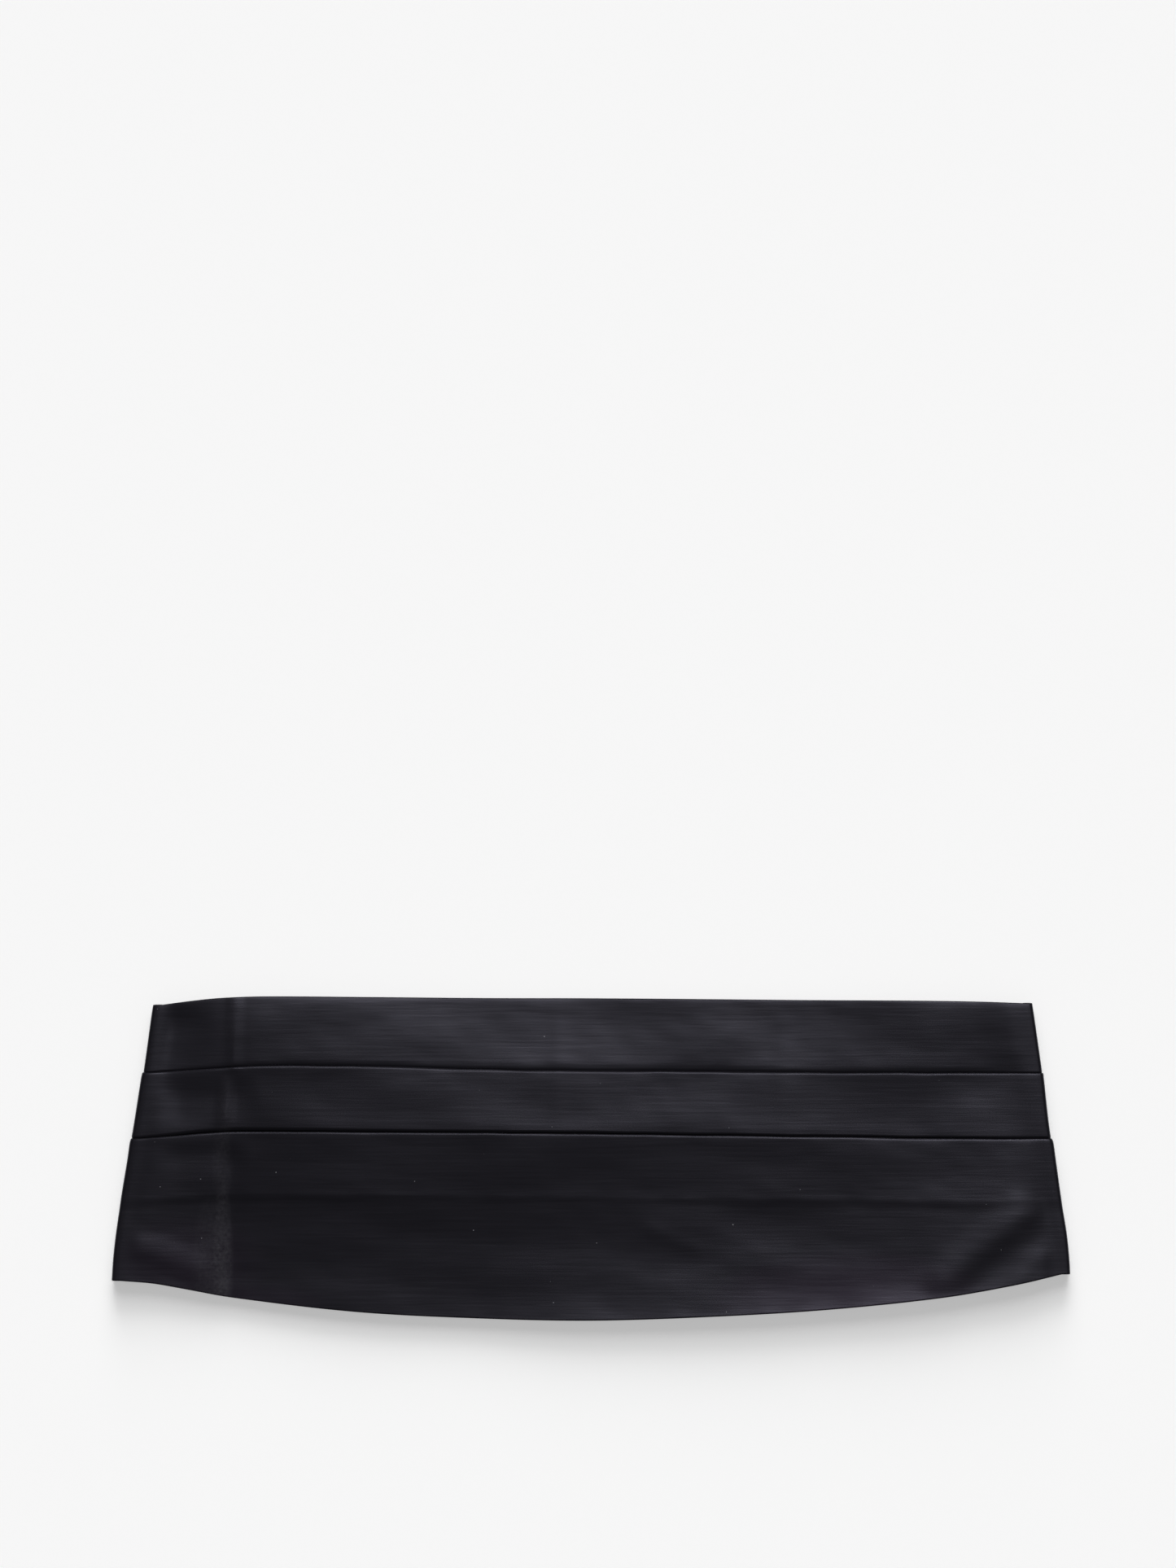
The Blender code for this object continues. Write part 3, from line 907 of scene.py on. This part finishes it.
def foldLift(fold, x, y):
    alongX, alongY = fold["x2"] - fold["x1"], fold["y2"] - fold["y1"]
    length = math.hypot(alongX, alongY)
    t = ((x - fold["x1"]) * alongX + (y - fold["y1"]) * alongY) / length
    if not 0 < t < length:
        return 0.0
    away = ((y - fold["y1"]) * alongX - (x - fold["x1"]) * alongY) / length
    reach = abs(away) / (fold["left"] if away > 0 else fold["right"])
    if reach >= 1:
        return 0.0
    profile = (1 - reach) ** 2 * (1 + 2 * (1 - fold["crisp"]) * reach)
    return fold["lift"] * profile * smooth(t / fold["fade"]) * smooth((length - t) / fold["fade"])


def mottleLift(x, y):
    lift = 0.0
    for waves in mottle:
        place = Vector((x / waves["length"], y / waves["height"], waves["seed"]))
        lift += waves["size"] * noise.noise(place)
    return lift


def frontLift(form, x, y):
    return swayLift(form, y) + mottleLift(x, y) + sum(foldLift(fold, x, y) for fold in softFolds)


def frontRow(share):
    form = formAt(share)
    side = 1 if share >= 0 else -1
    base = layers["stack"] + 2 * layers["coreGap"]
    ease = smooth((1 - abs(share)) / layers["liftEase"])
    points = []
    for below, level in clothSection(form):
        y = form["top"] - below
        x = share * halfWidth(y, side)
        points.append(Vector((x, y, base + level + ease * frontLift(form, x, y))))
    return points


def sideRow(side, angle):
    form = formAt(float(side))
    power = layers["squareness"]
    across = math.sin(angle) ** power
    up = math.copysign(abs(math.cos(angle)) ** power, math.cos(angle))
    axis = layers["stack"] + layers["coreGap"]
    points = []
    for below, level in clothSection(form):
        radius = layers["coreGap"] + level
        y = form["top"] - below
        x = side * (halfWidth(y, side) + radius * across)
        points.append(Vector((x, y, axis + radius * up)))
    return points


def wingRow(side, part):
    form = formAt(float(side))
    topStart, hemStart = form["top"], form["top"] - form["length"]
    top = hermite(topStart, wing["middle"] + wing["height"] / 2, -wing["topFall"], 0, part)
    hem = hermite(hemStart, wing["middle"] - wing["height"] / 2, -wing["hemFall"], 0, part)
    scale = (top - hem) / (topStart - hemStart)
    for name in ("foldOne", "foldTwo", "scale"):
        form[name] *= scale
    form["length"] = top - hem
    settled = smooth(part / wing["settle"])
    form["topLift"] = mix(form["topLift"], 2 * form["pitch"], settled)
    pressed = 2 * form["pitch"] + form["sink"] - 2 * layers["pressedPitch"] + form["crease"]
    form["panelLift"] = pressed * settled
    loose = math.sin(math.pi * part)
    points = []
    for below, level in clothSection(form):
        y = top - below
        start = halfWidth(topStart - below / scale, side)
        x = side * mix(start, wing["end"], part)
        place = Vector((x / wing["rippleLength"], y / wing["rippleHeight"], wing["rippleSeed"]))
        ripple = wing["ripple"] * max(noise.noise(place), 0.0)
        ripple += sum(foldLift(fold, x, y) for fold in wingFolds)
        points.append(Vector((x, y, layers["stack"] - level + loose * ripple)))
    return points


def sheetMesh(name, sections):
    bm = bmesh.new()
    lines = [[bm.verts.new(point * mm) for point in section] for section in sections]
    for line, nextLine in zip(lines, lines[1:]):
        for k in range(len(line) - 1):
            bm.faces.new((line[k], line[k + 1], nextLine[k + 1], nextLine[k]))
    mesh = bpy.data.meshes.new(name)
    bm.to_mesh(mesh)
    bm.free()
    mesh.shade_smooth()
    piece = bpy.data.objects.new(name, mesh)
    scene.collection.objects.link(piece)
    return piece


def thicken(piece, thickness):
    shell = piece.modifiers.new("thickness", "SOLIDIFY")
    shell.thickness = thickness * mm
    shell.offset = 0
    shell.use_even_offset = True
    return shell


def rowShares():
    # shares of the half width, with closer rows at the packing crease on the left
    reference = halfWidth(0, 1)
    shares = []
    x = -reference
    while x < reference:
        shares.append(x / reference)
        x += rows["fineStep"] if rows["fineFrom"] < x < rows["fineTo"] else rows["step"]
    return shares


def makeCloth():
    sections = [wingRow(-1, 1 - k / rows["wing"]) for k in range(rows["wing"])]
    sections += [sideRow(-1, math.pi * (1 - k / rows["side"])) for k in range(rows["side"])]
    sections += [frontRow(share) for share in rowShares()]
    sections += [sideRow(1, math.pi * k / rows["side"]) for k in range(rows["side"])]
    sections += [wingRow(1, k / rows["wing"]) for k in range(rows["wing"] + 1)]
    piece = sheetMesh("satinFront", sections)
    shell = thicken(piece, layers["thickness"])
    shell.material_offset = 1
    piece.data.materials.append(satin)
    piece.data.materials.append(satinReverse)
    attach(piece, "root")
    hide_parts("pleated_front")
    return piece, sections


satinFront, clothRows = makeCloth()
print("satin made:", len(clothRows), "rows of", len(clothRows[0]), "points")


# elastic straps, stitches and the clasp; distances along X are from the middle of the cummerbund

strap = {
    "thickness": 0.9,
    "low": -1.0,  # its two edges, over the outline's middle
    "high": 29.0,
    "sewnFrom": 72.0,  # its end lies on the wing's inner face
    "sewnTo": 61.0,
    "sewnLevel": 1.85,
    "down": 54.0,  # where it has come down to the surface
    "lowLevel": 0.5,
    "loop": 1.3,  # middle radius round the clasp's bar
    "turnedBack": 14.0,
    "step": 0.3,  # from row to row on the surface
    "sewnSteps": 36,  # rows of its other stretches
    "downSteps": 24,
    "loopSteps": 14,
    "backSteps": 46,
    "across": 12,  # faces over its width
    "rib": 1.2,
    "ribHeight": 0.05,
}
barCentre = {"left": 8.4, "right": 10.4}  # of the clasp, which the straps go round


def strapPath(centre):
    # distances along X, and levels, from the wing to the turned back end
    low, loop = strap["lowLevel"], strap["loop"]
    count = round((strap["down"] - centre) / strap["step"])
    sewn = spread(strap["sewnFrom"], strap["sewnTo"], strap["sewnSteps"])
    points = [(u, strap["sewnLevel"]) for u in sewn]
    for t in spread(0, 1, strap["downSteps"]):
        points.append((mix(strap["sewnTo"], strap["down"], t), mix(strap["sewnLevel"], low, smooth(t))))
    points += [(u, low) for u in spread(strap["down"], centre, count)]
    for k in range(strap["loopSteps"]):
        angle = math.pi * k / strap["loopSteps"]
        points.append((centre - loop * math.sin(angle), low + loop * (1 - math.cos(angle))))
    back = spread(centre, centre + strap["turnedBack"], strap["backSteps"])
    points += [(u, low + 2 * loop) for u in back]
    return points


def makeStrap(sideName, side):
    path = strapPath(barCentre[sideName])
    sections = []
    length = 0.0
    for k, (u, level) in enumerate(path):
        before, after = path[max(k - 1, 0)], path[min(k + 1, len(path) - 1)]
        alongU, alongZ = after[0] - before[0], after[1] - before[1]
        size = math.hypot(alongU, alongZ)
        length += math.hypot(u - before[0], level - before[1]) if k else 0.0
        rise = strap["ribHeight"] * math.sin(2 * math.pi * length / strap["rib"])
        place, height = u - rise * alongZ / size, level + rise * alongU / size
        ys = [mix(strap["low"], strap["high"], j / strap["across"]) for j in range(strap["across"] + 1)]
        sections.append([Vector((side * place, y, height)) for y in ys])
    name = "strap" + sideName.capitalize()
    piece = sheetMesh(name, sections)
    thicken(piece, strap["thickness"])
    piece.data.materials.append(webbing)
    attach(piece, "root")
    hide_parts("strap_" + sideName)
    return length


stitch = {
    "length": 2.0,
    "pitch": 2.8,
    "width": 0.34,
    "height": 0.26,
    "margin": 1.4,
    "boxInset": 1.5,
    "backRows": (8.5, 11.5),  # from the bar's centre
}


def addStitch(bm, x, y, z, alongX):
    made = bmesh.ops.create_uvsphere(bm, u_segments=8, v_segments=6, radius=0.5 * mm)
    long, wide = stitch["length"], stitch["width"]
    scale = Vector((long if alongX else wide, wide if alongX else long, stitch["height"]))
    bmesh.ops.scale(bm, vec=scale, verts=made["verts"])
    bmesh.ops.translate(bm, vec=Vector((x, y, z)) * mm, verts=made["verts"])


def stitchRow(bm, start, end, z):
    # a row from one place to another, along X or along Y
    alongX = start[1] == end[1]
    count = max(1, round(math.dist(start, end) / stitch["pitch"]))
    for k in range(count):
        t = (k + 0.5) / count
        addStitch(bm, mix(start[0], end[0], t), mix(start[1], end[1], t), z, alongX)


def makeStitches(sideName, side):
    # a sewn box where the strap meets the wing, and two rows at its turned back end
    low, high = strap["low"] + stitch["margin"], strap["high"] - stitch["margin"]
    near = side * (strap["sewnTo"] + stitch["boxInset"])
    far = side * (strap["sewnFrom"] - stitch["margin"])
    face = strap["sewnLevel"] + strap["thickness"] / 2 + strap["ribHeight"] / 2
    bm = bmesh.new()
    stitchRow(bm, (near, low), (near, high), face)
    stitchRow(bm, (far, low), (far, high), face)
    stitchRow(bm, (near, low), (far, low), face)
    stitchRow(bm, (near, high), (far, high), face)
    face = strap["lowLevel"] + 2 * strap["loop"] + strap["thickness"] / 2 + strap["ribHeight"] / 2
    for back in stitch["backRows"]:
        x = side * (barCentre[sideName] + back)
        stitchRow(bm, (x, low), (x, high), face)
    mesh = bpy.data.meshes.new("stitches" + sideName.capitalize())
    bm.to_mesh(mesh)
    bm.free()
    mesh.shade_smooth()
    piece = bpy.data.objects.new(mesh.name, mesh)
    scene.collection.objects.link(piece)
    mesh.materials.append(thread)
    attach(piece, "root")


for sideName, side in (("left", -1), ("right", 1)):
    strapLength = makeStrap(sideName, side)
    makeStitches(sideName, side)
    print("strap and stitches made on the", sideName, "- strap cut", round(strapLength), "mm")

for name in ("hook", "ring"):
    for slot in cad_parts[name].material_slots:
        slot.material = enamel
print("clasp finished")
